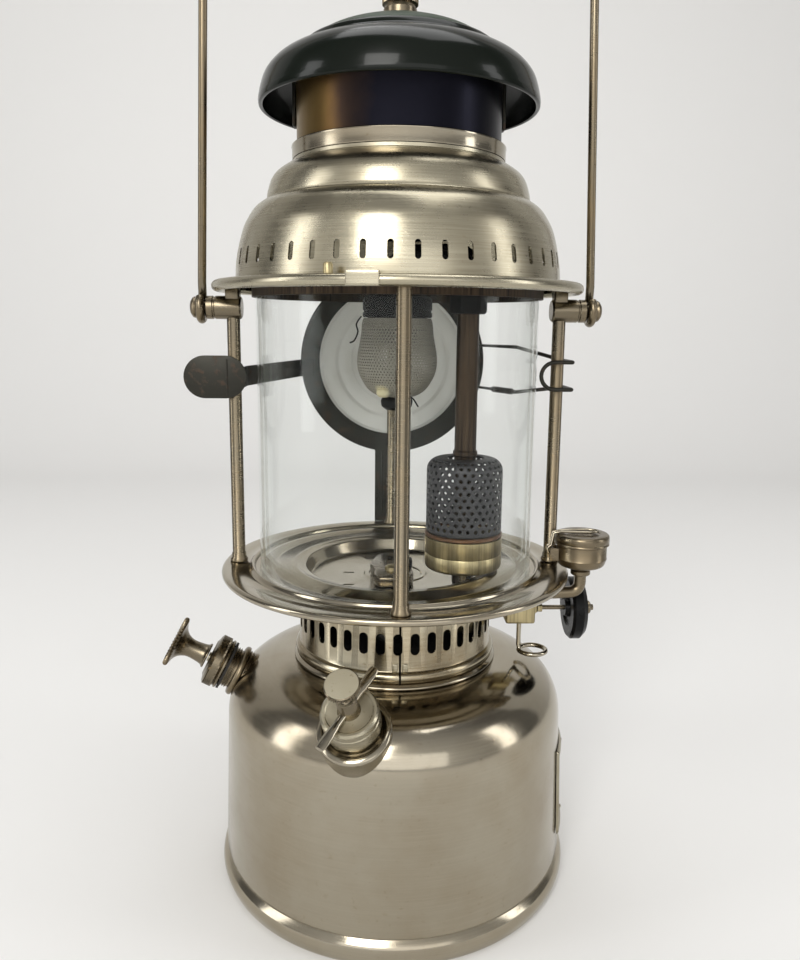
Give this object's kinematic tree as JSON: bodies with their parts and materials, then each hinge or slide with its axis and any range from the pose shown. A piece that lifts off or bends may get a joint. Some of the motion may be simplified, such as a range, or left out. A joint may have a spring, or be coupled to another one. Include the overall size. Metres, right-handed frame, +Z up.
{
  "type": "kerosene pressure lantern",
  "caption": "Kerosene pressure lantern: round metal tank with hand pump and filler, glass cylinder round a mantle, vented hood with domed cap, and a wire carrying bail.",
  "frame": {"origin": "centre of the tank's foot, on the surface that it stands on", "axes": "+Z up along the lantern's axis; +X along the bail's pivot towards the hand wheel; the pump points towards -X and upwards, the filler cap and badge plate face -Y, and the reflector is at +Y"},
  "size_m": [0.2102, 0.1783, 0.4819],
  "materials": {
    "satin_nickel": "nickel plate, finely brushed, lightly tarnished",
    "polished_nickel": "bright nickel plate, polished",
    "aged_nickel": "worn nickel plate over brass, brownish",
    "brass": "bare brass, dulled",
    "copper": "bare copper alloy, oxidised by heat",
    "heat_blued": "metal with brown to blue-black heat tint",
    "dark_steel": "dark oxidised sheet steel and wire",
    "enamel_cap": "black-green vitreous enamel, high gloss",
    "enamel_white": "off-white enamel on the front, dark steel behind",
    "glass": "clear heat-resistant glass",
    "bakelite": "black phenolic moulding",
    "burner_black": "sooted refractory and scaled metal",
    "mantle": "fine ash-coloured mesh",
    "seal": "dark gasket",
    "leather": "oiled leather cup"
  },
  "bodies": {
    "lantern": {"badge_plate": "polished_nickel", "bail_ear_left": "aged_nickel", "bail_ear_right": "aged_nickel", "bail_pin_left": "aged_nickel", "bail_pin_right": "aged_nickel", "bearing_block": "brass", "burner_body": "burner_black", "collar": "satin_nickel", "filler_neck": "polished_nickel", "floor_bracket": "aged_nickel", "fuel_riser": "brass", "gallery_plate": "polished_nickel", "glass": "glass", "mantle": "mantle", "mantle_plug": "burner_black", "mixing_tube": "burner_black", "post_back": "aged_nickel", "post_front": "aged_nickel", "post_left": "aged_nickel", "post_right": "aged_nickel", "preheater_band": "copper", "preheater_cup": "brass", "preheater_screen": "dark_steel", "pump_barrel": "aged_nickel", "pump_boss": "aged_nickel", "pump_valve": "brass", "reflector_arm": "dark_steel", "reflector_disc": "enamel_white", "reflector_frame": "dark_steel", "seat_ring": "polished_nickel", "spirit_cup": "satin_nickel", "spirit_pipe": "aged_nickel", "tank": "polished_nickel", "union_nut": "burner_black", "upper_ring": "satin_nickel", "valve_body": "brass", "vaporiser_tube": "heat_blued"},
    "bail": {"bail": "aged_nickel"},
    "pump_plunger": {"pump_knob": "aged_nickel", "pump_rod": "satin_nickel", "pump_piston": "leather"},
    "pump_cap": {"pump_cap": "aged_nickel"},
    "filler_cap": {"filler_cap": "satin_nickel", "filler_bar": "polished_nickel", "filler_gasket": "seal"},
    "vent_screw": {"vent_screw": "satin_nickel"},
    "hand_wheel": {"hand_wheel": "bakelite", "valve_spindle": "aged_nickel"},
    "needle": {"cleaning_needle": "brass"},
    "wire_key": {"key_wire": "polished_nickel"},
    "spirit_lid": {"spirit_lid": "satin_nickel", "lid_wire": "polished_nickel"},
    "hood": {"hood": "satin_nickel", "neck_band": "polished_nickel", "chimney": "heat_blued", "cap": "enamel_cap", "cap_bridge": "dark_steel"},
    "cap_nut": {"cap_nut": "aged_nickel"},
    "hood_catch": {"hood_catch": "satin_nickel"},
    "reflector_clip": {"reflector_clip": "dark_steel"}
  },
  "joints": [
    {"name": "bail_swing", "type": "hinge", "parent": "lantern", "child": "bail", "pos_m": [0, 0, 0.268], "axis": [1, 0, 0], "range_deg": [-140, 140]},
    {"name": "pump_stroke", "type": "slide", "parent": "lantern", "child": "pump_plunger", "axis": [-0.891, 0, 0.454], "range_m": [0, 0.05]},
    {"name": "pump_cap_turn", "type": "hinge", "parent": "lantern", "child": "pump_cap", "pos_m": [-0.0754, 0, 0.0939], "axis": [-0.891, 0, 0.454], "range_deg": [0, 720]},
    {"name": "filler_turn", "type": "hinge", "parent": "lantern", "child": "filler_cap", "pos_m": [-0.01795, -0.06942, 0.0978], "axis": [-0.1364, -0.5273, 0.8387], "range_deg": [0, 900]},
    {"name": "vent_turn", "type": "hinge", "parent": "filler_cap", "child": "vent_screw", "pos_m": [-0.01795, -0.06942, 0.0978], "axis": [-0.1364, -0.5273, 0.8387], "range_deg": [0, 540]},
    {"name": "wheel_turn", "type": "hinge", "parent": "lantern", "child": "hand_wheel", "pos_m": [0, 0, 0.126], "axis": [1, 0, 0], "range_deg": [0, 300]},
    {"name": "needle_lift", "type": "slide", "parent": "lantern", "child": "needle", "axis": [0, 0, 1], "range_m": [0, 0.002]},
    {"name": "key_turn", "type": "hinge", "parent": "lantern", "child": "wire_key", "pos_m": [0.059, -0.0095, 0.1078], "axis": [0, 0, 1], "range_deg": [-90, 90]},
    {"name": "lid_open", "type": "hinge", "parent": "lantern", "child": "spirit_lid", "pos_m": [0.0713, -0.0162, 0.16], "axis": [0, -1, 0], "range_deg": [0, 90]},
    {"name": "hood_lift", "type": "slide", "parent": "lantern", "child": "hood", "axis": [0, 0, 1], "range_m": [0, 0.045]},
    {"name": "cap_nut_turn", "type": "hinge", "parent": "hood", "child": "cap_nut", "pos_m": [0, 0, 0.395], "axis": [0, 0, 1], "range_deg": [0, 900]},
    {"name": "catch_slide", "type": "hinge", "parent": "lantern", "child": "hood_catch", "pos_m": [0, 0, 0.2793], "axis": [0, 0, 1], "range_deg": [-4, 0]},
    {"name": "clip_swing", "type": "hinge", "parent": "lantern", "child": "reflector_clip", "pos_m": [0.0465, 0.078, 0.2388], "axis": [0, 0, 1], "range_deg": [0, 30]}
  ],
  "couplings": [
    {"joint": "needle_lift", "follows": "wheel_turn", "m_per_rad": 0.00038}
  ]
}
